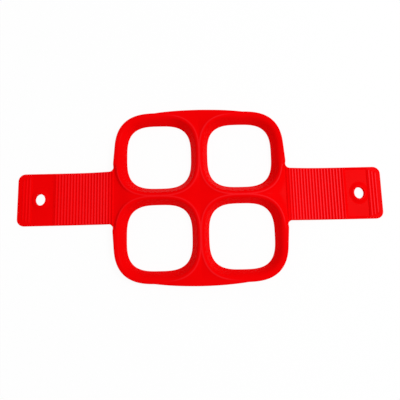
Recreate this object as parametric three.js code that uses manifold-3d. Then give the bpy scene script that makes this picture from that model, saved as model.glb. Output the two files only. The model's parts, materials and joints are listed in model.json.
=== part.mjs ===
// Silicone egg mould: four flared, rounded-square cavities that are open right through, joined by
// thin webs, with a ribbed strap handle at each end. It lies on a table, where the soft straps
// sag from the deck until they lie flat. The silicone is cut into the zones that stay stiff, with
// a narrow gap along every line where it bends.
//
// Millimetres, +Z up, +X towards the right handle, +Y to the rear. The origin is the middle of
// the mould on the table.

import * as THREE from 'three';
import { mergeVertices } from 'three/addons/utils/BufferGeometryUtils.js';
import Module from 'manifold-3d';

// Cavities: half-sizes of the rounded square at the levels of its wall, squarer at the opening
// than at the rim
const CAVITY_PITCH = 85;
const OPENING_SQUARENESS = 3.12;
const RIM_SQUARENESS = 2.78;
const HEIGHT = 14;
const OPENING_HALF = 34;
const FOOT_HALF = 36;
const LIP_HALF = 42.2;
const RIM_HALF = 44.4;
const LIP_WIDTH = 1;

// Deck: the webs between the cavities, and the straps that carry on from it
const DECK_THICKNESS = 2.5;
const DECK_TOP = 13.2;
const DECK_LENGTH = 180;
const DECK_BULGE = 2.6;
const DECK_BULGE_HALF = 36;
const WEB_REACH = 26;

// Straps
const LENGTH = 379;
const STRAP_WIDTH = 54;
const SAG_START = 66;
const SAG_END = 165;
const SAG_POWER = 5;
const ROOT_FILLET = 5;
const TIP_RADIUS = 7.5;
const BORDER_WIDTH = 2;
const PANEL_DEPTH = 0.5;
const HANG_HOLE_X = 166.2;
const HANG_HOLE_RADIUS = 6;
const COLLAR_RADIUS = 8.2;
const COLLAR_HEIGHT = 1;

// Ribs across each grip, and the short ones on its tip
const RIB_FIRST = 89.5;
const RIB_LAST = 149.8;
const RIBS = 20;
const RIB_HEIGHT = 0.8;
const RIBS_ON_WEB = 2;
const TIP_RIB_FIRST = 177.3;
const TIP_RIB_PITCH = 3.27;
const TIP_RIB_HEIGHT = 0.6;
const TIP_RIB_MARGIN = 3;
const TIP_RIBS = 3;

// Clearance between neighbouring zones, and how finely round stretches are cut
const GAP = 0.3;
const RING_SEGMENTS = 48;
const RIB_STEPS = 6;
const STRAP_STEP = 5;
const ROUND_SEGMENTS = 24;
const ARC_SEGMENTS = 8;
const FAR = 300;

const CENTRE = CAVITY_PITCH / 2;
const DECK_UNDERSIDE = DECK_TOP - DECK_THICKNESS;
const UNDER_RIM = FOOT_HALF + ((LIP_HALF - FOOT_HALF) * DECK_UNDERSIDE) / DECK_TOP + LIP_WIDTH;
const STRAP_HALF = STRAP_WIDTH / 2;
const TIP_X = LENGTH / 2;
const TIP_START = TIP_RIB_FIRST - TIP_RIB_PITCH / 2;
const RIB_PITCH = (RIB_LAST - RIB_FIRST) / (RIBS - 1);

const wasm = await Module();
wasm.setup();

const silicone = new THREE.MeshStandardMaterial({ color: 0xd80f18, roughness: 0.5, metalness: 0 });

function solidFrom(geometry) {
  geometry.deleteAttribute('normal');
  geometry.deleteAttribute('uv');
  const merged = mergeVertices(geometry);
  const vertProperties = new Float32Array(merged.attributes.position.array);
  const triVerts = new Uint32Array(merged.index.array);
  return new wasm.Manifold(new wasm.Mesh({ numProp: 3, vertProperties, triVerts }));
}

function meshFrom(name, solid) {
  const { vertProperties, triVerts } = solid.getMesh();
  const geometry = new THREE.BufferGeometry();
  geometry.setAttribute('position', new THREE.BufferAttribute(vertProperties, 3));
  geometry.setIndex(new THREE.BufferAttribute(triVerts, 1));
  geometry.computeVertexNormals();
  const mesh = new THREE.Mesh(geometry, silicone.clone());
  mesh.name = name;
  return mesh;
}

function block([x0, x1], [y0, y1], [z0, z1]) {
  const geometry = new THREE.BoxGeometry(x1 - x0, y1 - y0, z1 - z0);
  geometry.translate((x0 + x1) / 2, (y0 + y1) / 2, (z0 + z1) / 2);
  return solidFrom(geometry);
}

// A plan outline, raised from one level to another
function raised(shape, bottom, top) {
  const options = { depth: top - bottom, bevelEnabled: false, curveSegments: ARC_SEGMENTS };
  const geometry = new THREE.ExtrudeGeometry(shape, options);
  geometry.translate(0, 0, bottom);
  return solidFrom(geometry);
}

// A side outline in X and Z, as wide as the stretch of Y that is given
function across(outline, [y0, y1]) {
  const options = { depth: y1 - y0, bevelEnabled: false };
  const geometry = new THREE.ExtrudeGeometry(new THREE.Shape(outline), options);
  geometry.rotateX(Math.PI / 2);
  geometry.translate(0, y1, 0);
  return solidFrom(geometry);
}

function upright(x, radius) {
  const geometry = new THREE.CylinderGeometry(radius, radius, FAR, ROUND_SEGMENTS);
  geometry.rotateX(Math.PI / 2);
  geometry.translate(x, 0, 0);
  return solidFrom(geometry);
}

// The cavity's rounded square: a superellipse of the given half-size
function roundedSquare(half) {
  const up = (half - OPENING_HALF) / (RIM_HALF - OPENING_HALF);
  const power = OPENING_SQUARENESS + (RIM_SQUARENESS - OPENING_SQUARENESS) * up;
  return Array.from({ length: RING_SEGMENTS }, (_, i) => {
    const angle = (2 * Math.PI * i) / RING_SEGMENTS;
    const c = Math.cos(angle);
    const s = Math.sin(angle);
    const norm = (Math.abs(c) ** power + Math.abs(s) ** power) ** (1 / power);
    return new THREE.Vector2((half * c) / norm, (half * s) / norm);
  });
}

// A section of half-sizes and levels, swept round a cavity of the right half
function swept(section, ySide) {
  const positions = [];
  const index = [];
  section.forEach(([half, z], j) => {
    const after = (j + 1) % section.length;
    roundedSquare(half).forEach(({ x, y }, i) => {
      const next = (i + 1) % RING_SEGMENTS;
      positions.push(CENTRE + x, ySide * CENTRE + y, z);
      const a = j * RING_SEGMENTS + i;
      const b = j * RING_SEGMENTS + next;
      const c = after * RING_SEGMENTS + next;
      const d = after * RING_SEGMENTS + i;
      index.push(a, b, c, a, c, d);
    });
  });
  const geometry = new THREE.BufferGeometry();
  geometry.setAttribute('position', new THREE.Float32BufferAttribute(positions, 3));
  geometry.setIndex(index);
  return solidFrom(geometry);
}

// One cavity's wall, rim and lip, kept on its side of the two middle lines, where it meets its
// neighbours
function cavityRing(ySide) {
  const section = [
    [OPENING_HALF, 0],
    [FOOT_HALF, 0],
    [UNDER_RIM, DECK_UNDERSIDE],
    [RIM_HALF, DECK_UNDERSIDE],
    [RIM_HALF, DECK_TOP],
    [LIP_HALF + LIP_WIDTH, DECK_TOP],
    [LIP_HALF + LIP_WIDTH / 2, HEIGHT],
    [LIP_HALF - LIP_WIDTH / 2, HEIGHT],
    [LIP_HALF - LIP_WIDTH, DECK_TOP],
  ];
  const ownSide = ySide > 0 ? [GAP / 2, FAR] : [-FAR, -GAP / 2];
  return swept(section, ySide).intersect(block([GAP / 2, FAR], ownSide, [-FAR, FAR]));
}

// What the two right-hand cavities take out of the webs: wall and rim with some clearance, and
// the space inside them as far as a web could reach
function cavityPlugs() {
  const wallGap = GAP * Math.hypot(1, (UNDER_RIM - FOOT_HALF) / DECK_UNDERSIDE);
  const inner = WEB_REACH / 2;
  const section = [
    [inner, 0],
    [FOOT_HALF + wallGap, 0],
    [UNDER_RIM + wallGap, DECK_UNDERSIDE - GAP],
    [RIM_HALF + GAP, DECK_UNDERSIDE - GAP],
    [RIM_HALF + GAP, FAR],
    [inner, FAR],
  ];
  return swept(section, 1).add(swept(section, -1));
}

// A web of the right half. WEB_REACH, counted from the cavities' centre lines, ends each web
// before it runs out too thin between two rims.
function deckWeb(shape, plugs) {
  return raised(shape, DECK_UNDERSIDE, DECK_TOP).subtract(plugs);
}

function centreWeb(plugs) {
  const reach = CENTRE - WEB_REACH;
  const shape = new THREE.Shape();
  shape.moveTo(GAP / 2, -reach);
  shape.lineTo(reach, -reach);
  shape.lineTo(reach, reach);
  shape.lineTo(GAP / 2, reach);
  return deckWeb(shape, plugs);
}

// The front or rear web, whose outer edge bulges between the cavities
function edgeWeb(ySide, plugs) {
  const inner = CENTRE + WEB_REACH;
  const crest = DECK_LENGTH / 2;
  const shoulder = crest - (DECK_BULGE * DECK_BULGE_HALF ** 2) / CENTRE ** 2;
  const shape = new THREE.Shape();
  shape.moveTo(GAP / 2, ySide * inner);
  shape.lineTo(DECK_BULGE_HALF, ySide * inner);
  shape.lineTo(DECK_BULGE_HALF, ySide * shoulder);
  shape.quadraticCurveTo(DECK_BULGE_HALF / 2, ySide * crest, GAP / 2, ySide * crest);
  return deckWeb(shape, plugs);
}

// The line across a strap past its nth rib
function afterRib(n) {
  return RIB_FIRST + (n - 0.5) * RIB_PITCH;
}

// The three lines across a strap where it bends: behind the ribs that lie on the web, between
// the two halves of the grip, and past the last rib
function bendLines() {
  const middle = Math.round((RIBS_ON_WEB + RIBS) / 2);
  return [afterRib(RIBS_ON_WEB), afterRib(middle), afterRib(RIBS)];
}

// Underside of a strap that leaves the deck between the rims, and comes to lie flat on the table
function strapUnderside(x) {
  const gone = THREE.MathUtils.clamp((x - SAG_START) / (SAG_END - SAG_START), 0, 1);
  return DECK_UNDERSIDE * (1 - gone) ** SAG_POWER * (1 + SAG_POWER * gone);
}

function strapTop(x) {
  return strapUnderside(x) + DECK_THICKNESS;
}

function ribAbove(x) {
  const turns = (x - RIB_FIRST) / RIB_PITCH;
  const onRibs = turns > -0.5 && turns < RIBS - 0.5;
  return onRibs ? RIB_HEIGHT * Math.cos(Math.PI * turns) ** 2 : 0;
}

function stations(x0, x1, step) {
  const count = Math.max(1, Math.round((x1 - x0) / step));
  return Array.from({ length: count + 1 }, (_, i) => x0 + ((x1 - x0) * i) / count);
}

// Side outline of a stretch of strap, with its top raised by the given relief
function strapOutline(x0, x1, step, relief) {
  const under = stations(x0, x1, STRAP_STEP).map((x) => new THREE.Vector2(x, strapUnderside(x)));
  const over = stations(x0, x1, step).map((x) => new THREE.Vector2(x, strapTop(x) + relief(x)));
  return [...under, ...over.reverse()];
}

function ribbed(x0, x1, half) {
  return across(strapOutline(x0, x1, RIB_PITCH / RIB_STEPS, ribAbove), [-half, half]);
}

// The web at a strap's root, flared into the two cavities, with the first ribs on it
function rootWeb(end, plugs) {
  const inner = CENTRE + WEB_REACH;
  const edge = CENTRE + RIM_HALF;
  const flare = STRAP_HALF + ROOT_FILLET;
  const shape = new THREE.Shape();
  shape.moveTo(inner, -flare);
  shape.lineTo(edge - GAP, -flare);
  shape.absarc(edge - GAP + ROOT_FILLET, -flare, ROOT_FILLET, Math.PI, Math.PI / 2, true);
  shape.lineTo(end, -STRAP_HALF);
  shape.lineTo(end, STRAP_HALF);
  shape.absarc(edge - GAP + ROOT_FILLET, flare, ROOT_FILLET, -Math.PI / 2, -Math.PI, true);
  shape.lineTo(inner, flare);
  return ribbed(inner, end, flare).intersect(raised(shape, -FAR, FAR)).subtract(plugs);
}

// The smooth panel with its raised side borders, cleared for the collar of the hanging hole
function hangTab(x0) {
  const x1 = TIP_START - GAP / 2;
  const panel = strapOutline(x0, x1, STRAP_STEP, () => -PANEL_DEPTH);
  const border = strapOutline(x0, x1, STRAP_STEP, () => 0);
  const inside = STRAP_HALF - BORDER_WIDTH;
  return across(panel, [-STRAP_HALF, STRAP_HALF])
    .add(across(border, [inside, STRAP_HALF]))
    .add(across(border, [-STRAP_HALF, -inside]))
    .subtract(upright(HANG_HOLE_X, COLLAR_RADIUS + GAP));
}

// The thickened ring round the hanging hole, rounded over on top
function hangCollar() {
  const top = DECK_THICKNESS - PANEL_DEPTH + COLLAR_HEIGHT;
  const shoulder = top - COLLAR_HEIGHT / 2;
  const soften = (COLLAR_RADIUS - HANG_HOLE_RADIUS) / 4;
  const profile = [
    new THREE.Vector2(HANG_HOLE_RADIUS, 0),
    new THREE.Vector2(COLLAR_RADIUS, 0),
    new THREE.Vector2(COLLAR_RADIUS, shoulder),
    new THREE.Vector2(COLLAR_RADIUS - soften, top),
    new THREE.Vector2(HANG_HOLE_RADIUS + soften, top),
    new THREE.Vector2(HANG_HOLE_RADIUS, shoulder),
    new THREE.Vector2(HANG_HOLE_RADIUS, 0),
  ];
  const geometry = new THREE.LatheGeometry(profile, ROUND_SEGMENTS);
  geometry.rotateX(Math.PI / 2);
  geometry.translate(HANG_HOLE_X, 0, strapUnderside(HANG_HOLE_X));
  return solidFrom(geometry);
}

// The rounded tip, flat on the table, with a few short ribs
function tip() {
  const inner = TIP_START + GAP / 2;
  const shape = new THREE.Shape();
  shape.moveTo(inner, -STRAP_HALF);
  shape.lineTo(TIP_X - TIP_RADIUS, -STRAP_HALF);
  shape.absarc(TIP_X - TIP_RADIUS, TIP_RADIUS - STRAP_HALF, TIP_RADIUS, -Math.PI / 2, 0, false);
  shape.lineTo(TIP_X, STRAP_HALF - TIP_RADIUS);
  shape.absarc(TIP_X - TIP_RADIUS, STRAP_HALF - TIP_RADIUS, TIP_RADIUS, 0, Math.PI / 2, false);
  shape.lineTo(inner, STRAP_HALF);
  let solid = raised(shape, 0, DECK_THICKNESS);
  for (let n = 0; n < TIP_RIBS; n += 1) {
    const crest = TIP_RIB_FIRST + n * TIP_RIB_PITCH;
    const reach = STRAP_HALF - TIP_RIB_MARGIN * (1 + n / 2);
    const outline = stations(-0.5, 0.5, 1 / RIB_STEPS).map((turn) => {
      const height = TIP_RIB_HEIGHT * Math.cos(Math.PI * turn) ** 2;
      return new THREE.Vector2(crest + turn * TIP_RIB_PITCH, DECK_THICKNESS + height);
    });
    const sunk = DECK_THICKNESS - TIP_RIB_HEIGHT;
    outline.push(new THREE.Vector2(crest + TIP_RIB_PITCH / 2, sunk));
    outline.push(new THREE.Vector2(crest - TIP_RIB_PITCH / 2, sunk));
    solid = solid.add(across(outline.reverse(), [-reach, reach]));
  }
  return solid;
}

// Half a mould, built on the right. The left half is the same, turned about the middle, so the
// cavity at its front is the one that was built at the rear.
function halfMould(side) {
  const front = side === 'right' ? -1 : 1;
  const [root, middle, end] = bendLines();
  const plugs = cavityPlugs();
  const half = new THREE.Group();
  half.add(
    meshFrom(`front_${side}_ring`, cavityRing(front)),
    meshFrom(`rear_${side}_ring`, cavityRing(-front)),
    meshFrom(`front_web_${side}`, edgeWeb(front, plugs)),
    meshFrom(`rear_web_${side}`, edgeWeb(-front, plugs)),
    meshFrom(`centre_web_${side}`, centreWeb(plugs)),
    meshFrom(`${side}_root_web`, rootWeb(root - GAP / 2, plugs)),
    meshFrom(`${side}_grip_inner`, ribbed(root + GAP / 2, middle - GAP / 2, STRAP_HALF)),
    meshFrom(`${side}_grip_outer`, ribbed(middle + GAP / 2, end - GAP / 2, STRAP_HALF)),
    meshFrom(`${side}_hang_tab`, hangTab(end + GAP / 2)),
    meshFrom(`${side}_hang_collar`, hangCollar()),
    meshFrom(`${side}_tip`, tip()),
  );
  half.rotation.z = side === 'right' ? 0 : Math.PI;
  return half;
}

const mould = new THREE.Group();
mould.add(halfMould('left'), halfMould('right'));

export default mould;
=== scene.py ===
"""Silicone egg mould: the soft, rounded surface of the moulding, its finish, and a plain studio.

The moulding is made as one block and as two straps of three stretches each. Lengths are in
millimetres in the frame of the solids until a mesh is made, and lamps, floor and camera are in
metres.
"""

import json
import math

import bmesh
import bpy
import numpy as np
from mathutils import Matrix, Vector


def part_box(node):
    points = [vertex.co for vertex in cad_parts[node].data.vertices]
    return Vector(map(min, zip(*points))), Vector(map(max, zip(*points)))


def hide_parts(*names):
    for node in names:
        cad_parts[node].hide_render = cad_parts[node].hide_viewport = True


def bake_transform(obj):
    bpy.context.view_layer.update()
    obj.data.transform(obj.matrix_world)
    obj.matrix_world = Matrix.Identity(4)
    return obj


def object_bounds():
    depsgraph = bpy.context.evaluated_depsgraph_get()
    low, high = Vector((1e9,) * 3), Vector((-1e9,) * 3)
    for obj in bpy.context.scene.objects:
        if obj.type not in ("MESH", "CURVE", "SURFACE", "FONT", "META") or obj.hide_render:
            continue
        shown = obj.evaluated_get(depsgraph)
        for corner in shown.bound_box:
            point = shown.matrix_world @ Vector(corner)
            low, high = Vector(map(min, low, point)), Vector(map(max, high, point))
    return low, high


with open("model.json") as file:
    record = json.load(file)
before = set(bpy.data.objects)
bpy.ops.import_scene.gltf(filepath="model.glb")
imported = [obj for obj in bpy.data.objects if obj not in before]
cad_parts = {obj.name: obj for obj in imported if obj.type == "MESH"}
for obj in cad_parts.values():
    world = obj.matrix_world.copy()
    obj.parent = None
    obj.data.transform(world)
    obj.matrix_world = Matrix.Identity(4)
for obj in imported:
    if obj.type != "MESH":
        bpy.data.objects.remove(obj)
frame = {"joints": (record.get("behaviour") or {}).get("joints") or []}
cad_low, cad_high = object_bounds()

MM = 0.001
joint_at = {joint["name"]: Vector(joint["pos_m"]) / MM for joint in frame["joints"]}
tip_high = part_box("right_tip")[1] / MM
ring_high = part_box("front_right_ring")[1] / MM
collar_low, collar_high = (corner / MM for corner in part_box("right_hang_collar"))

# How far the soft outline stands out from the solids
SWELL = 0.3

# Cavities: half-sizes of the rounded square at the levels of its wall, squarer at the opening
# than at the rim. The walls lean, so that the openings lie a little to the rear
CENTRE = 42.5
OPENING_SQUARENESS = 3.12
RIM_SQUARENESS = 2.78
OPENING_HALF = 33.8
FOOT_HALF = 36
FOOT_ROUND = 0.4
RIM_HALF = ring_high.x - CENTRE + SWELL
WALL_LEAN = 0.55
WALL_RISE = math.radians(66)
WALL_FOOT = OPENING_HALF - FOOT_ROUND * (1 / math.tan(WALL_RISE / 2) - 1)
UNDER_SLOPE = math.tan(math.radians(60))
MERGE_BLUR = 0.43

# Top of the wall: a raised lip where a web runs up to it, and a wide, lower roll where the rim
# is the mould's edge
LIP_HALF = 42.2
LIP_RISE = 0.75
LIP_FLANK = 1.3
LIP_DROP = 3
ROLL_HALF = 44
ROLL_POWER = 3.4
LIP_FADE_START = 2.6
LIP_FADE_END = 8

# Deck: the webs between the cavities, a little dished
DECK_TOP = 13.2
DECK_THICKNESS = 2.5
DECK_UNDERSIDE = DECK_TOP - DECK_THICKNESS
DECK_EDGE = cad_high.y / MM + SWELL
DECK_BULGE = 2.6
BULGE_REACH = 46
WEB_DISH = 1.0
DISH_REACH = 11
UNDER_FILLET = 0.5
UNDER_WALL_TOP = FOOT_HALF + DECK_UNDERSIDE / UNDER_SLOPE

# Straps, which leave the deck between the rims and come to lie flat on the table
TIP_X = tip_high.x + SWELL
STRAP_HALF = tip_high.y + SWELL
SAG_START = 66
SAG_END = 165
SAG_POWER = 5
SAG_SIDE_START = 29
SAG_SIDE_END = 35
FILLET = 5
FLARE_SLOPE = 0.08
TIP_RADIUS = 7.5

# Sunk panel at the end of each strap, and the hanging hole in it with its collar
PANEL_DEPTH = 0.7
PANEL_RUN_IN = 2
BORDER_WIDTH = 2
STEP_SOFTNESS = 0.5
HOLE_X = (collar_low.x + collar_high.x) / 2
HOLE_RADIUS = 5.6
HOLE_OVAL = 1.06
HOLE_ROUND = 0.4
COLLAR_CREST = 7.2
COLLAR_FOOT = 10.5
COLLAR_HEIGHT = 1.2

# Ribs across each strap, the first of them on the web before its root bend and the last before
# its end bend, and the short ribs on its tip
RIBS = 20
RIBS_ON_WEB = 2
ROOT_BEND = joint_at["right_root_bend"].x
END_BEND = joint_at["right_end_bend"].x
RIB_PITCH = (END_BEND - ROOT_BEND) / (RIBS - RIBS_ON_WEB)
RIB_FIRST = ROOT_BEND - (RIBS_ON_WEB - 0.5) * RIB_PITCH
RIB_HEIGHT = 1.0
RIB_POWER = 3
RIB_END_SOFTNESS = 1.0
TIP_RIB_FIRST = 177.3
TIP_RIB_PITCH = 3.27
TIP_RIB_HEIGHT = 0.6
TIP_RIB_MARGIN = 3
TIP_RIB_SHORTER = 1.5
TIP_RIBS = 3
PANEL_END = TIP_RIB_FIRST - TIP_RIB_PITCH / 2

# Seam between the block and each strap, in the groove after the first rib
SEAM_X = RIB_FIRST + RIB_PITCH / 2
SEAM_FADE = 12

# Paler lines along the lips and ribs, partly wear and partly a painted highlight of the lamp on
# the right: stronger towards the right, and on a rib on the lit flank that faces right. The ribs
# at both ends of a grip get less of it
WEAR_HIGHLIGHT_WIDTH = 0.6
WEAR_HIGHLIGHT_POWER = 4
LIP_WEAR_HIGHLIGHT = 0.25
TIP_WEAR_HIGHLIGHT = 0.55
# Painted highlight: how much stronger the lines grow towards the lamp on the right
HIGHLIGHT_LEAN_TO_LAMP = 0.95
# Painted highlight: how far a rib's line is moved onto its lit flank, which faces right
HIGHLIGHT_SHIFT_TO_LIT_FLANK = 0.5
WEAR_HIGHLIGHT_RUN_IN = 8
WEAR_HIGHLIGHT_RUN_OUT = 4

# Rounded edges
RIM_ROUND = 1.5
EDGE_ROUND = 0.7
UNDER_EDGE_ROUND = 0.4

# How finely the block is cut: columns run out from the middle of a cavity, rows run round it.
# Wall, lip and underside rows are half-sizes, and web rows are shares of the way to the edge
COLUMN_STEP = math.radians(1.5)
RIB_COLUMN_STEP = math.radians(0.2)
WALL_ROW_COUNT = 7
LIP_ROW_COUNT = 28
WEB_ROW_COUNT = 24
UNDER_ROW_COUNT = 10
ROW_MARGIN = 0.5
WEB_ROW_CROWDING = 1.5
LIP_ROWS_FROM = LIP_HALF - 5.5
LIP_ROWS_TO = LIP_HALF + 2.8
UNDER_ROWS_FROM = UNDER_WALL_TOP + 1.2
UNDER_ROWS_TO = FOOT_HALF + 0.8
WALL_ROWS = np.linspace(OPENING_HALF + ROW_MARGIN, LIP_ROWS_FROM - ROW_MARGIN, WALL_ROW_COUNT)
LIP_ROWS = np.linspace(LIP_ROWS_FROM, LIP_ROWS_TO, LIP_ROW_COUNT)
WEB_ROWS = 1 - np.linspace(1, 0, WEB_ROW_COUNT + 2)[1:-1] ** WEB_ROW_CROWDING
UNDER_ROWS = np.linspace(UNDER_ROWS_FROM, UNDER_ROWS_TO, UNDER_ROW_COUNT)
FOOT_STEPS = 7
UNDER_FOOT_STEPS = 4
EDGE_INSETS = (1, 0.65, 0.36, 0.14, 0.03, 0)

# How finely the straps are cut, along them, across them and round the hanging hole
RIB_STEPS = 10
TIP_RIB_STEPS = 20
RUN_IN_STEPS = 8
PANEL_STEP = 1
TIP_ROUND_STEPS = 30
STRAP_INSETS = np.array((0, 0.02, 0.1, 0.25, 0.45, 0.7, 1.1, 1.6, 2, 2.4, 3))
ACROSS_STEPS = 20
HOLE_PATCH_STEPS = 7
HOLE_RINGS = 12

# Limits of the sums: passes towards a size that depends on itself, the depth of places that a
# stretch of the outline leaves out, the sine of the angles that look to the front edge, and the
# least values to divide by
SIZE_PASSES = 4
BULGE_PASSES = 8
LEFT_OUT = -1
FRONT_SINE = -0.5
LEAST_HALF = 1
LEAST_STEEPNESS = 0.5
LEAST_CLOSING = 0.2
LEAST_DIVISOR = 0.1

# Mesh clean-up in metres, and the angle from which an edge is shaded as sharp
WELD = 2e-6
SLIVER = 1e-6
SHARP_ANGLE = math.radians(50)

# Finish of the silicone, with clouds and grain per metre
DEEP_RED = (0.83, 0.0004, 0.0010, 1)
BRIGHT_RED = (0.88, 0.0006, 0.0016, 1)
# Pale pink of the lip and rib lines, partly wear and partly painted highlight
WEAR_HIGHLIGHT_RED = (1, 0.07, 0.095, 1)
CLOUD_SCALE = 28
CLOUD_DETAIL = 4
CLOUD_LOW = 0.3
CLOUD_HIGH = 0.7
GRAIN_SCALE = 1400
GRAIN_DETAIL = 3
GRAIN_STRENGTH = 0.15
GRAIN_HEIGHT = 0.00005
ROUGHNESS_LOW = 0.2
ROUGHNESS_HIGH = 0.3
SPECULAR = 0.003

# Studio in metres
FLOOR_HALF = 3
FLOOR_DROP = 0.0002
PAPER = (0.9, 0.9, 0.9, 1)
PAPER_WHITENESS = 0.94
WHITE = (1, 1, 1, 1)
ROOM_LIGHT = 0.64
KEY_PLACE = (0.8, 0.16, 1.26)
KEY_SIZE = 0.3
KEY_WATTS = 10.2

# Camera in metres, with its lens and sensor in millimetres
CAMERA_PLACE = (-0.00158, -0.04368, 0.33289)
CAMERA_TILT = math.radians(-6.864)
CAMERA_PAN = math.radians(-0.251)
CAMERA_ROLL = math.radians(-1.281)
LENS = 28.8
SENSOR = 36

# Solids that the block stands for
BLOCK_NODES = [
    f"{row}_{side}_ring" for row in ("front", "rear") for side in ("left", "right")
] + [
    f"{row}_web_{side}" for row in ("front", "rear", "centre") for side in ("left", "right")
] + ["left_root_web", "right_root_web"]


def smooth_step(t):
    t = np.clip(t, 0, 1)
    return t * t * (3 - 2 * t)


def soft_min(a, b, blur):
    low = np.minimum(a, b)
    return low - blur * np.log(np.exp((low - a) / blur) + np.exp((low - b) / blur))


def rounded_drop(depth, radius):
    """How far a surface has turned down, at a depth inside an edge rounded with that radius."""
    inside = radius - np.clip(depth, 0, radius)
    return radius - np.sqrt(radius**2 - inside**2)


def power_norm(x, y, power):
    return (np.abs(x) ** power + np.abs(y) ** power) ** (1 / power)


def squareness(half):
    up = np.clip((half - OPENING_HALF) / (RIM_HALF - OPENING_HALF), 0, 1)
    return OPENING_SQUARENESS + (RIM_SQUARENESS - OPENING_SQUARENESS) * up


def squared(x, y):
    """Half-size of the rounded square round (0, 0) that passes through a point."""
    half = power_norm(x, y, RIM_SQUARENESS)
    for _ in range(SIZE_PASSES):
        half = power_norm(x, y, squareness(half))
    return half


def cavity_half(x, y):
    """The same from the nearest cavity's centre, blurred where two cavities are as near."""
    near_x, near_y = np.abs(x) - CENTRE, np.abs(y) - CENTRE
    far_x, far_y = np.abs(x) + CENTRE, np.abs(y) + CENTRE
    own = squared(near_x, near_y)
    beside = soft_min(squared(far_x, near_y), squared(near_x, far_y), MERGE_BLUR)
    return soft_min(own, beside, MERGE_BLUR)


# Flare: a straight edge that leaves the rim where the rim has the same slope, and ends in the
# fillet at the strap
TOUCH_RATIO = FLARE_SLOPE ** (1 / (RIM_SQUARENESS - 1))
TOUCH_X = RIM_HALF / power_norm(1, TOUCH_RATIO, RIM_SQUARENESS)
TOUCH_Y = TOUCH_RATIO * TOUCH_X
FLARE_SLANT = math.hypot(1, FLARE_SLOPE)
FILLET_Y = STRAP_HALF + FILLET
FILLET_X = CENTRE + TOUCH_X + FLARE_SLOPE * (CENTRE + TOUCH_Y - FILLET_Y) + FILLET * FLARE_SLANT
BULGE_CURVE = DECK_BULGE / CENTRE**2


def outline_depth(x, y):
    """How deep a point lies inside the plan outline: rims, bulging webs, and flared straps."""
    x, y = np.abs(x), np.abs(y)
    own_x, own_y = np.abs(x - CENTRE), np.abs(y - CENTRE)
    half = np.maximum(power_norm(own_x, own_y, RIM_SQUARENESS), LEAST_HALF)
    slope = RIM_SQUARENESS - 1
    steep = np.hypot(own_x**slope, own_y**slope) / half**slope
    rim = (RIM_HALF - half) / np.maximum(steep, LEAST_STEEPNESS)
    bulge = (DECK_EDGE - BULGE_CURVE * x**2 - y) / np.hypot(1, 2 * BULGE_CURVE * x)
    bulge = np.where(x < BULGE_REACH, bulge, LEFT_OUT)
    flare = (TOUCH_X + CENTRE - x + FLARE_SLOPE * (CENTRE + TOUCH_Y - y)) / FLARE_SLANT
    flare = np.where(y < CENTRE + TOUCH_Y, flare, LEFT_OUT)
    fillet = np.hypot(np.minimum(x - FILLET_X, 0), FILLET_Y - y) - FILLET
    fillet = np.where(y < FILLET_Y, fillet, LEFT_OUT)
    corner_x = np.maximum(x - TIP_X + TIP_RADIUS, 0)
    corner_y = np.maximum(y - STRAP_HALF + TIP_RADIUS, 0)
    end = np.minimum(TIP_RADIUS - np.hypot(corner_x, corner_y), TIP_X - x)
    strap_edge = np.where(x < TIP_X - TIP_RADIUS, fillet, np.minimum(fillet, end))
    return np.maximum(np.maximum(rim, bulge), np.maximum(flare, strap_edge))


def strap_under(x):
    """Height of the strap's underside."""
    gone = np.clip((x - SAG_START) / (SAG_END - SAG_START), 0, 1)
    return DECK_UNDERSIDE * (1 - gone) ** SAG_POWER * (1 + SAG_POWER * gone)


def rib_relief(x, depth):
    """Ribs across the strap, each rounded off where it runs out at the edge."""
    turns = (x - RIB_FIRST) / RIB_PITCH
    on_ribs = (turns > -0.5) & (turns < RIBS - 0.5)
    wave = np.abs(np.cos(np.pi * turns)) ** RIB_POWER
    return on_ribs * RIB_HEIGHT * wave * smooth_step(depth / RIB_END_SOFTNESS)


def tip_ribs(x, y):
    """Short ribs on the tip, each shorter than the one before."""
    relief = np.zeros_like(x)
    for n in range(TIP_RIBS):
        turns = (x - TIP_RIB_FIRST) / TIP_RIB_PITCH - n
        wave = (np.abs(turns) < 0.5) * np.abs(np.cos(np.pi * turns)) ** RIB_POWER
        reach = STRAP_HALF - (TIP_RIB_MARGIN + n * TIP_RIB_SHORTER)
        relief = relief + TIP_RIB_HEIGHT * wave * smooth_step((reach - np.abs(y)) / RIB_END_SOFTNESS)
    return relief


def lip_share(x, y):
    """1 where the nearest lip has a web beyond it, and 0 where it is the mould's own rim."""
    from_x, from_y = np.abs(x) - CENTRE, np.abs(y) - CENTRE
    to_lip = LIP_HALF / np.maximum(squared(from_x, from_y), LEAST_HALF)
    depth = outline_depth(CENTRE + from_x * to_lip, CENTRE + from_y * to_lip)
    return smooth_step((depth - LIP_FADE_START) / (LIP_FADE_END - LIP_FADE_START))


def wall_top(half, sharp):
    """The cavity's wall: straight and rounded over into a lip where sharp is 1, and curved all
    the way from the foot to the rim where it is 0."""
    height = DECK_TOP + LIP_RISE
    radius = ((LIP_HALF - WALL_FOOT) * math.tan(WALL_RISE) - height) / (1 / math.cos(WALL_RISE) - 1)
    turned = radius * math.sin(WALL_RISE)
    inside = LIP_HALF - half
    rounded = height - radius + np.sqrt(radius**2 - np.clip(inside, 0, turned) ** 2)
    lip = np.where(inside > turned, (half - WALL_FOOT) * math.tan(WALL_RISE), rounded)
    left = np.clip((ROLL_HALF - half) / (ROLL_HALF - WALL_FOOT), 0, 1)
    roll = DECK_TOP * (1 - left**ROLL_POWER)
    return roll + (lip - roll) * sharp


def web_share(half):
    """0 up to a lip, and 1 on the web beyond it."""
    return smooth_step((half - LIP_HALF) / LIP_DROP)


def off_seam(x):
    """0 at the seam where a strap goes on, and 1 away from it."""
    return smooth_step((SEAM_X - np.abs(x)) / SEAM_FADE)


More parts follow.
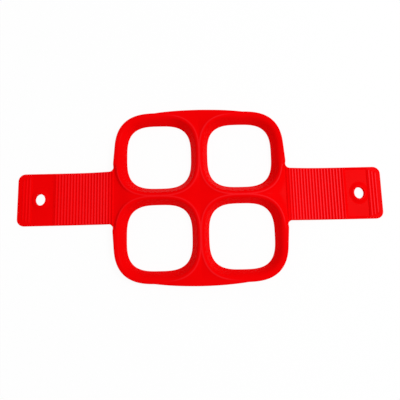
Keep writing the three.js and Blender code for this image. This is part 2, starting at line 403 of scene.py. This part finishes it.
def web_dish(x, half):
    """How far a web is dished: less and less towards a strap."""
    return WEB_DISH * smooth_step((half - LIP_HALF) / DISH_REACH) * off_seam(x)


def between_rims(y):
    """1 where a strap runs out between two rims, and 0 on the rims beside it."""
    return smooth_step((SAG_SIDE_END - np.abs(y)) / (SAG_SIDE_END - SAG_SIDE_START))


def web_sag(x, y):
    """How far a strap pulls the web at its root down."""
    return (DECK_UNDERSIDE - strap_under(np.abs(x))) * between_rims(y)


def edge_round(y):
    """Edge radius on top: large round the rims, small along the straps."""
    return RIM_ROUND + (EDGE_ROUND - RIM_ROUND) * between_rims(y)


def deck_top(x, y):
    """Top of the block: the cavity's wall, the lip round its mouth, and the web beyond."""
    half = cavity_half(x, y)
    depth = outline_depth(x, y)
    sharp = lip_share(x, y)
    share = web_share(half)
    near_seam = 1 - off_seam(x)
    spread_out = 1 / (1 + (np.maximum(half - LIP_HALF, 0) / LIP_FLANK) ** 2)
    flank = LIP_RISE * sharp * (1 - spread_out * (1 - share * near_seam))
    fallen = flank + web_dish(x, half) + share * web_sag(x, y) + rounded_drop(depth, edge_round(y))
    ribs = rib_relief(np.abs(x), depth) * share * between_rims(y)
    return wall_top(half, sharp) + ribs - fallen


def deck_under(x, y):
    """Underside of the block: the outside of the cavity's wall, filleted into the web."""
    half = cavity_half(x, y)
    web = DECK_UNDERSIDE - web_dish(x, half) - web_sag(x, y)
    surface = soft_min((half - FOOT_HALF) * UNDER_SLOPE, web, UNDER_FILLET)
    return surface + rounded_drop(outline_depth(x, y), UNDER_EDGE_ROUND)


def arc(centre, radius, start, end, steps):
    angles = np.linspace(start, end, steps)
    return [(centre[0] + radius * math.cos(a), centre[1] + radius * math.sin(a)) for a in angles]


def spread(start, end, step):
    """Angles from start up to end, without end, no further apart than step."""
    count = max(1, math.ceil((end - start) / step))
    return np.linspace(start, end, count, endpoint=False)


def block_columns():
    """Angles round the front right cavity, and what ends the block there."""
    seam_y = FILLET_Y - math.sqrt(FILLET**2 - (FILLET_X - SEAM_X) ** 2)
    flare_end = (FILLET_X - FILLET / FLARE_SLANT, FILLET * FLARE_SLOPE / FLARE_SLANT - FILLET_Y)
    corners = [
        (*flare_end, "fillet", COLUMN_STEP),
        (SEAM_X, -seam_y, "seam", COLUMN_STEP),
        (SEAM_X, 0, "middle", RIB_COLUMN_STEP),
        (SEAM_X - RIB_PITCH, 0, "middle", COLUMN_STEP),
        (0, 0, "middle", COLUMN_STEP),
        (0, -DECK_EDGE, "edge", COLUMN_STEP),
    ]
    starts = [math.atan2(y + CENTRE, x - CENTRE) for x, y, _, _ in corners]
    starts = [a if a > 0 else a + 2 * math.pi for a in starts] + [starts[0] + 2 * math.pi]
    angles, ends = [], []
    for (_, _, end, step), start, stop in zip(corners, starts, starts[1:]):
        part = spread(start, stop, step)
        angles.extend(part)
        ends.extend([end] * len(part))
    return np.array(angles), np.array(ends)


def block_reach(angles, ends):
    """How far the block reaches from the cavity's centre at each angle."""
    cosine, sine = np.cos(angles), np.sin(angles)
    rim = RIM_HALF / power_norm(cosine, sine, RIM_SQUARENESS)
    bulge = rim.copy()
    for _ in range(BULGE_PASSES):
        x = CENTRE + bulge * cosine
        miss = DECK_EDGE - CENTRE + bulge * sine - BULGE_CURVE * x**2
        closing = np.minimum(sine - 2 * BULGE_CURVE * x * cosine, -LEAST_CLOSING)
        bulge = bulge - miss / closing
    bulge = np.where((sine < FRONT_SINE) & (CENTRE + bulge * cosine < BULGE_REACH), bulge, 0)
    flare = (TOUCH_X + FLARE_SLOPE * TOUCH_Y) / np.maximum(cosine - FLARE_SLOPE * sine, LEAST_DIVISOR)
    flare = np.where((cosine > 0) & (sine * TOUCH_X > -cosine * TOUCH_Y), flare, 0)
    to_fillet = (FILLET_X - CENTRE) * cosine + (CENTRE - FILLET_Y) * sine
    off_fillet = (FILLET_X - CENTRE) ** 2 + (CENTRE - FILLET_Y) ** 2 - FILLET**2
    fillet = to_fillet - np.sqrt(np.maximum(to_fillet**2 - off_fillet, 0))
    plane = CENTRE / np.maximum(np.maximum(sine, -cosine), LEAST_DIVISOR)
    seam = (SEAM_X - CENTRE) / np.maximum(cosine, LEAST_DIVISOR)
    reach = np.maximum(np.maximum(rim, bulge), flare)
    reach = np.where(ends == "fillet", fillet, reach)
    reach = np.where(ends == "seam", seam, reach)
    return np.where(ends == "middle", plane, reach)


def block_quadrant(x_side, y_side):
    """Rows of points round one cavity, from the foot up over the lip, out to the edge and back
    along the underside. The quadrant is worked out at the front right and mirrored."""
    angles, ends = block_columns()
    reach = block_reach(angles, ends)
    cosine, sine = np.cos(angles), np.sin(angles)
    turn = np.gradient(reach, angles) / reach
    slant = np.where((ends == "edge") | (ends == "fillet"), np.hypot(1, turn), 0)
    top_round = edge_round(reach * sine - CENTRE) * slant
    under_round = UNDER_EDGE_ROUND * slant
    rows = []

    def at_half(half, limit):
        return np.minimum(half / power_norm(cosine, sine, squareness(half)), limit)

    def add(distance, height):
        x = CENTRE + distance * cosine
        y = -CENTRE + distance * sine
        z = height(x, y) if callable(height) else np.full_like(x, height)
        lean = WALL_LEAN * (1 - z / DECK_TOP) * off_seam(x)
        rows.append(np.stack([x_side * x, y_side * -y + lean, z], axis=1))

    foot_centre = (OPENING_HALF + FOOT_ROUND, FOOT_ROUND)
    foot_end = WALL_RISE - 1.5 * math.pi
    for half, z in arc(foot_centre, FOOT_ROUND, -math.pi / 2, foot_end, FOOT_STEPS):
        add(at_half(half, reach), z)
    for half in (*WALL_ROWS, *LIP_ROWS):
        add(at_half(half, reach - top_round), deck_top)
    lip_end = at_half(LIP_ROWS[-1], reach - top_round)
    for share in WEB_ROWS:
        add(lip_end + (reach - top_round - lip_end) * share, deck_top)
    for inset in EDGE_INSETS:
        add(reach - inset * top_round, deck_top)
    edge_row = len(rows)
    for inset in EDGE_INSETS[::-1]:
        add(reach - inset * under_round, deck_under)
    wall_start = at_half(UNDER_ROWS[0], reach - under_round)
    for share in WEB_ROWS[::-1]:
        add(wall_start + (reach - under_round - wall_start) * share, deck_under)
    for half in UNDER_ROWS:
        add(at_half(half, reach - under_round), deck_under)
    under_angle = math.atan(UNDER_SLOPE)
    foot_centre = (FOOT_HALF - FOOT_ROUND * math.tan(under_angle / 2), FOOT_ROUND)
    foot_start = under_angle - math.pi / 2
    for half, z in arc(foot_centre, FOOT_ROUND, foot_start, -math.pi / 2, UNDER_FOOT_STEPS):
        add(at_half(half, reach), z)
    return np.array(rows), ends, edge_row


def wear_and_highlight(x, y, z):
    """How much paler the surface is made along the lips and ribs: partly wear, and partly a painted
    highlight that grows towards the lamp on the right and sits on the ribs' lit flanks.
    """
    # Painted highlight: the lines grow stronger towards the lamp on the right
    highlight_lean = 1 + HIGHLIGHT_LEAN_TO_LAMP * x / TIP_X
    # Painted highlight: the rib lines are moved onto the flank that faces the lamp
    beside = np.abs(x - HIGHLIGHT_SHIFT_TO_LIT_FLANK)
    x, depth, half = np.abs(x), outline_depth(x, y), cavity_half(x, y)
    on_lip = LIP_WEAR_HIGHLIGHT * np.exp(-(((half - LIP_HALF) / WEAR_HIGHLIGHT_WIDTH) ** 2)) * (z > DECK_UNDERSIDE)
    on_lip = on_lip * lip_share(x, y)
    on_rib = (rib_relief(beside, depth) / RIB_HEIGHT) ** WEAR_HIGHLIGHT_POWER
    on_rib = on_rib * smooth_step((x - RIB_FIRST) / WEAR_HIGHLIGHT_RUN_IN)
    on_rib = on_rib * smooth_step((END_BEND - x) / WEAR_HIGHLIGHT_RUN_OUT)
    on_tip = TIP_WEAR_HIGHLIGHT * (tip_ribs(beside, y) / TIP_RIB_HEIGHT) ** WEAR_HIGHLIGHT_POWER
    on_top = (z > strap_under(x) + DECK_THICKNESS / 2) & (x > SEAM_X - RIB_PITCH)
    return highlight_lean * np.maximum(on_lip, (on_rib + on_tip) * on_top)


def mesh_piece(name, points, faces):
    """A smooth closed mesh from points in millimetres, with coincident points made one."""
    mesh = bpy.data.meshes.new(name)
    mesh.from_pydata((np.asarray(points) * MM).tolist(), [], faces)
    shape = bmesh.new()
    shape.from_mesh(mesh)
    bmesh.ops.remove_doubles(shape, verts=shape.verts, dist=WELD)
    bmesh.ops.dissolve_degenerate(shape, edges=shape.edges, dist=SLIVER)
    loose = [v for v in shape.verts if not v.link_faces]
    bmesh.ops.delete(shape, geom=loose, context="VERTS")
    bmesh.ops.recalc_face_normals(shape, faces=shape.faces)
    shape.to_mesh(mesh)
    shape.free()
    mesh.shade_smooth()
    mesh.set_sharp_from_angle(angle=SHARP_ANGLE)
    places = np.array([v.co for v in mesh.vertices]) / MM
    # Stores the paler lines, part wear and part painted highlight, on every point
    wear_highlight_layer = mesh.attributes.new("wear_and_highlight", "FLOAT", "POINT")
    wear_highlight_layer.data.foreach_set("value", wear_and_highlight(*places.T).astype(np.float32))
    piece = bpy.data.objects.new(name, mesh)
    bpy.context.scene.collection.objects.link(piece)
    return piece


def mould_block():
    """The four cavities and the webs between them."""
    points, faces = [], []
    for x_side in (-1, 1):
        for y_side in (-1, 1):
            rows, ends, edge_row = block_quadrant(x_side, y_side)
            first, (row_count, columns) = len(points), rows.shape[:2]
            points.extend(rows.reshape(-1, 3))
            for j in range(row_count):
                for i in range(columns):
                    if j == edge_row - 1 and ends[i] == "middle":
                        continue
                    next_i, next_j = (i + 1) % columns, (j + 1) % row_count
                    corners = ((j, i), (j, next_i), (next_j, next_i), (next_j, i))
                    faces.append([first + a * columns + b for a, b in corners])
    piece = mesh_piece("mould_block", points, faces)
    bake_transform(piece)
    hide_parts(*BLOCK_NODES)
    return piece


def from_hole(x, y):
    """Distance from the middle of the hanging hole, which is a little longer across the strap."""
    return np.hypot((x - HOLE_X) * HOLE_OVAL, y / HOLE_OVAL)


def strap_relief(x, y, depth):
    """Ribs, the sunk panel, the collar of its hole, and the short ribs of the tip."""
    inside = smooth_step((STRAP_HALF - BORDER_WIDTH - np.abs(y)) / STEP_SOFTNESS + 0.5)
    inside = inside * smooth_step((x - END_BEND) / PANEL_RUN_IN)
    inside = inside * smooth_step((PANEL_END - x) / STEP_SOFTNESS)
    collar = smooth_step((COLLAR_FOOT - from_hole(x, y)) / (COLLAR_FOOT - COLLAR_CREST))
    return rib_relief(x, depth) + tip_ribs(x, y) - PANEL_DEPTH * inside + COLLAR_HEIGHT * collar


def hole_round(x, y):
    return rounded_drop(from_hole(x, y) - HOLE_RADIUS, HOLE_ROUND)


def strap_top(x, y):
    depth = outline_depth(x, y)
    rounded = rounded_drop(depth, EDGE_ROUND) + hole_round(x, y)
    return strap_under(x) + DECK_THICKNESS + strap_relief(x, y, depth) - rounded


def strap_bottom(x, y):
    rounded = rounded_drop(outline_depth(x, y), UNDER_EDGE_ROUND) + hole_round(x, y)
    return strap_under(x) + rounded


def strap_half_width(x):
    flare = np.sqrt(FILLET**2 - np.clip(FILLET_X - x, 0, FILLET) ** 2)
    corner = np.sqrt(TIP_RADIUS**2 - np.clip(x - TIP_X + TIP_RADIUS, 0, TIP_RADIUS) ** 2)
    return np.where(x < FILLET_X, FILLET_Y - flare, STRAP_HALF - TIP_RADIUS + corner)


def across_strap(x):
    """Places across the strap at each X: close together at the edges, even in the middle."""
    width = strap_half_width(x)[:, None]
    insets = STRAP_INSETS * width / STRAP_HALF
    inner = np.linspace(1, 0, ACROSS_STEPS + 1)[1:]
    half = np.concatenate([width - insets, (width - insets[:, -1:]) * inner], axis=1)
    return np.concatenate([-half, half[:, -2::-1]], axis=1)


def along(start, end, step):
    """Places from start to end, with both of them, no further apart than step."""
    return np.linspace(start, end, max(2, math.ceil((end - start) / step) + 1))


def end_stations(start, patch):
    """Places along the last stretch: ribs, panel, the square round the hole, ribs, round tip."""
    parts = [
        along(start, END_BEND, RIB_PITCH / RIB_STEPS),
        along(END_BEND, END_BEND + PANEL_RUN_IN, PANEL_RUN_IN / RUN_IN_STEPS),
        along(END_BEND + PANEL_RUN_IN, HOLE_X - patch, PANEL_STEP),
        np.linspace(HOLE_X - patch, HOLE_X + patch, 2 * HOLE_PATCH_STEPS + 1),
        along(HOLE_X + patch, TIP_X - TIP_RADIUS, TIP_RIB_PITCH / TIP_RIB_STEPS),
        TIP_X - TIP_RADIUS * (1 - np.sin(np.linspace(0, math.pi / 2, TIP_ROUND_STEPS))),
    ]
    return np.concatenate([parts[0]] + [part[1:] for part in parts[1:]])


def strap_piece(name, side, x, patch=0):
    """A closed stretch of strap over the given places along it, with a hole if it has a patch."""
    y = across_strap(x)
    xx = np.repeat(x[:, None], y.shape[1], axis=1)
    columns = y.shape[1]
    points = [np.stack([xx, y, strap_top(xx, y)], axis=2).reshape(-1, 3)]
    points.append(np.stack([xx, y, strap_bottom(xx, y)], axis=2).reshape(-1, 3))
    layer = len(points[0])

    def in_patch(i, j):
        middle_x, middle_y = (x[i] + x[i + 1]) / 2, (y[i, j] + y[i, j + 1]) / 2
        return abs(middle_x - HOLE_X) < patch and abs(middle_y) < patch

    faces = []
    for i in range(len(x) - 1):
        for j in range(columns - 1):
            if in_patch(i, j):
                continue
            a = i * columns + j
            cell = [a, a + columns, a + columns + 1, a + 1]
            faces.append(cell)
            faces.append([layer + corner for corner in reversed(cell)])
    rims = [[i * columns for i in range(len(x))], [(i + 1) * columns - 1 for i in range(len(x))]]
    rims += [list(range(columns)), list(range((len(x) - 1) * columns, len(x) * columns))]
    for rim in rims:
        faces.extend([a, b, layer + b, layer + a] for a, b in zip(rim, rim[1:]))
    if patch:
        first = 2 * layer
        rings, hole_faces = hole_patch(patch)
        points.append(rings)
        faces.extend([[first + corner for corner in face] for face in hole_faces])
    placed = np.concatenate(points)
    if side == "left":
        placed = placed * (-1, -1, 1)
    return mesh_piece(name, placed, faces)


def hole_patch(patch):
    """Rings from the hanging hole to the square of cells left open round it, above and below."""
    steps = np.linspace(-patch, patch, 2 * HOLE_PATCH_STEPS + 1)
    edge = np.stack([steps[:-1], np.full(2 * HOLE_PATCH_STEPS, -patch)], axis=1)
    turns = [np.array([[math.cos(a), math.sin(a)], [-math.sin(a), math.cos(a)]])
             for a in np.arange(4) * math.pi / 2]
    square = np.concatenate([edge @ turn for turn in turns])
    direction = square / from_hole(HOLE_X + square[:, 0], square[:, 1])[:, None]
    rings = [direction * (HOLE_RADIUS + HOLE_ROUND * inset) for inset in EDGE_INSETS[::-1]]
    start = rings[-1]
    rings += [start + (square - start) * share for share in np.linspace(0, 1, HOLE_RINGS)[1:]]
    rings = np.array(rings)
    x, y = rings[..., 0] + HOLE_X, rings[..., 1]
    above = np.stack([x, y, strap_top(x, y)], axis=2)
    below = np.stack([x, y, strap_bottom(x, y)], axis=2)
    count = len(square)
    layers = np.concatenate([above[::-1], below])
    faces = []
    for j in range(len(layers) - 1):
        ring, next_ring = j * count, (j + 1) * count
        for i in range(count):
            next_i = (i + 1) % count
            faces.append([ring + i, ring + next_i, next_ring + next_i, next_ring + i])
    return layers.reshape(-1, 3), faces


def strap(side):
    """Three stretches, each round one hinge and cut midway between two."""
    bends = [abs(joint_at[f"{side}_{place}_bend"].x) for place in ("root", "middle", "end")]
    cuts = [SEAM_X, (bends[0] + bends[1]) / 2, (bends[1] + bends[2]) / 2, TIP_X]
    patch = HOLE_PATCH_STEPS * (STRAP_HALF - STRAP_INSETS[-1]) / ACROSS_STEPS
    step = RIB_PITCH / RIB_STEPS
    stretches = [
        ("root", along(cuts[0], cuts[1], step), 0, ["grip_inner"]),
        ("middle", along(cuts[1], cuts[2], step), 0, ["grip_outer"]),
        ("end", end_stations(cuts[2], patch), patch, ["hang_tab", "hang_collar", "tip"]),
    ]
    pieces = []
    for n, (place, x, hole, stands_for) in enumerate(stretches):
        piece = strap_piece(f"{side}_strap_{place}", side, x, hole)
        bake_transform(piece)
        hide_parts(*[f"{side}_{node}" for node in stands_for])
        pieces.append(piece)
    return pieces


def add_node(tree, kind, **settings):
    made = tree.nodes.new(kind)
    for key, value in settings.items():
        setattr(made, key, value)
    return made


def silicone():
    """Satin red silicone: a little uneven in colour and gloss, with a fine moulded grain, and paler
    lines on the lips and ribs that are partly wear and partly a painted highlight.
    """
    material = bpy.data.materials.new("red_silicone")
    material.use_nodes = True
    tree = material.node_tree
    link = tree.links.new
    shader = tree.nodes["Principled BSDF"]
    shader.inputs["Specular IOR Level"].default_value = SPECULAR
    place = add_node(tree, "ShaderNodeTexCoord")

    clouds = add_node(tree, "ShaderNodeTexNoise")
    clouds.inputs["Scale"].default_value = CLOUD_SCALE
    clouds.inputs["Detail"].default_value = CLOUD_DETAIL
    link(place.outputs["Object"], clouds.inputs["Vector"])
    colour = add_node(tree, "ShaderNodeValToRGB")
    colour.color_ramp.elements[0].position = CLOUD_LOW
    colour.color_ramp.elements[0].color = DEEP_RED
    colour.color_ramp.elements[1].position = CLOUD_HIGH
    colour.color_ramp.elements[1].color = BRIGHT_RED
    link(clouds.outputs["Fac"], colour.inputs["Fac"])

    grain = add_node(tree, "ShaderNodeTexNoise")
    grain.inputs["Scale"].default_value = GRAIN_SCALE
    grain.inputs["Detail"].default_value = GRAIN_DETAIL
    link(place.outputs["Object"], grain.inputs["Vector"])

    # Paler pink on the lips and ribs: partly wear, partly a painted highlight of the lamp
    wear_highlight_layer = add_node(tree, "ShaderNodeAttribute", attribute_name="wear_and_highlight")
    broken = add_node(tree, "ShaderNodeMath", operation="MULTIPLY")
    link(wear_highlight_layer.outputs["Fac"], broken.inputs[0])
    link(grain.outputs["Fac"], broken.inputs[1])
    paler = add_node(tree, "ShaderNodeMix", data_type="RGBA")
    link(broken.outputs[0], paler.inputs["Factor"])
    link(colour.outputs["Color"], paler.inputs["A"])
    paler.inputs["B"].default_value = WEAR_HIGHLIGHT_RED
    link(paler.outputs["Result"], shader.inputs["Base Color"])

    gloss = add_node(tree, "ShaderNodeMapRange")
    gloss.inputs["To Min"].default_value = ROUGHNESS_LOW
    gloss.inputs["To Max"].default_value = ROUGHNESS_HIGH
    link(grain.outputs["Fac"], gloss.inputs["Value"])
    link(gloss.outputs["Result"], shader.inputs["Roughness"])
    bump = add_node(tree, "ShaderNodeBump")
    bump.inputs["Strength"].default_value = GRAIN_STRENGTH
    bump.inputs["Distance"].default_value = GRAIN_HEIGHT
    link(grain.outputs["Fac"], bump.inputs["Height"])
    link(bump.outputs["Normal"], shader.inputs["Normal"])
    return material


def seen_rays(tree):
    """1 for the rays that show a background: seen directly, mirrored, or through glass."""
    rays = add_node(tree, "ShaderNodeLightPath")
    either = add_node(tree, "ShaderNodeMath", operation="MAXIMUM")
    tree.links.new(rays.outputs["Is Camera Ray"], either.inputs[0])
    tree.links.new(rays.outputs["Is Glossy Ray"], either.inputs[1])
    any_of = add_node(tree, "ShaderNodeMath", operation="MAXIMUM")
    tree.links.new(either.outputs[0], any_of.inputs[0])
    tree.links.new(rays.outputs["Is Transmission Ray"], any_of.inputs[1])
    return any_of.outputs[0]


def floor_finish():
    """White paper that shows as white to the camera, and keeps a faint shadow."""
    material = bpy.data.materials.new("paper")
    material.use_nodes = True
    tree = material.node_tree
    link = tree.links.new
    tree.nodes.clear()
    output = add_node(tree, "ShaderNodeOutputMaterial")
    paper = add_node(tree, "ShaderNodeBsdfDiffuse")
    paper.inputs["Color"].default_value = PAPER
    white = add_node(tree, "ShaderNodeEmission")
    share = add_node(tree, "ShaderNodeMath", operation="MULTIPLY")
    share.inputs[1].default_value = PAPER_WHITENESS
    link(seen_rays(tree), share.inputs[0])
    mix = add_node(tree, "ShaderNodeMixShader")
    link(share.outputs[0], mix.inputs["Fac"])
    link(paper.outputs[0], mix.inputs[1])
    link(white.outputs[0], mix.inputs[2])
    link(mix.outputs[0], output.inputs["Surface"])
    return material


def floor():
    mesh = bpy.data.meshes.new("floor")
    half = FLOOR_HALF
    corners = [(-half, -half, 0), (half, -half, 0), (half, half, 0), (-half, half, 0)]
    mesh.from_pydata(corners, [], [(0, 1, 2, 3)])
    mesh.materials.append(floor_finish())
    plane = bpy.data.objects.new("floor", mesh)
    plane.location.z = -FLOOR_DROP
    bpy.context.scene.collection.objects.link(plane)


def area_light(name, place, size, watts):
    """A square soft box, turned to the middle of the mould."""
    lamp = bpy.data.lights.new(name, "AREA")
    lamp.size = size
    lamp.energy = watts
    holder = bpy.data.objects.new(name, lamp)
    holder.location = place
    holder.rotation_euler = (-Vector(place)).to_track_quat("-Z", "Y").to_euler()
    bpy.context.scene.collection.objects.link(holder)


def studio():
    """A white room, and one soft lamp high on the right."""
    world = bpy.data.worlds.new("studio")
    world.use_nodes = True
    tree = world.node_tree
    background = tree.nodes["Background"]
    background.inputs["Color"].default_value = WHITE
    level = add_node(tree, "ShaderNodeMapRange")
    level.inputs["To Min"].default_value = ROOM_LIGHT
    level.inputs["To Max"].default_value = 1
    tree.links.new(seen_rays(tree), level.inputs["Value"])
    tree.links.new(level.outputs["Result"], background.inputs["Strength"])
    bpy.context.scene.world = world
    area_light("key", KEY_PLACE, KEY_SIZE, KEY_WATTS)


def camera():
    """The photograph's view: close above, and tilted a little."""
    data = bpy.data.cameras.new("camera")
    data.sensor_width = SENSOR
    data.lens = LENS
    down = Matrix(((1, 0, 0), (0, -1, 0), (0, 0, -1)))
    tilt = Matrix.Rotation(CAMERA_TILT, 3, "X")
    pan = Matrix.Rotation(CAMERA_PAN, 3, "Y")
    roll = Matrix.Rotation(CAMERA_ROLL, 3, "Z")
    right, image_down, forward = roll @ pan @ tilt @ down
    rotation = Matrix((right, -image_down, -forward)).transposed()
    holder = bpy.data.objects.new("camera", data)
    holder.matrix_world = Matrix.Translation(CAMERA_PLACE) @ rotation.to_4x4()
    bpy.context.scene.collection.objects.link(holder)
    bpy.context.scene.camera = holder


bpy.context.scene.view_settings.view_transform = "Standard"
camera()
floor()
studio()
finish = silicone()
for piece in [mould_block(), *strap("left"), *strap("right")]:
    piece.data.materials.append(finish)
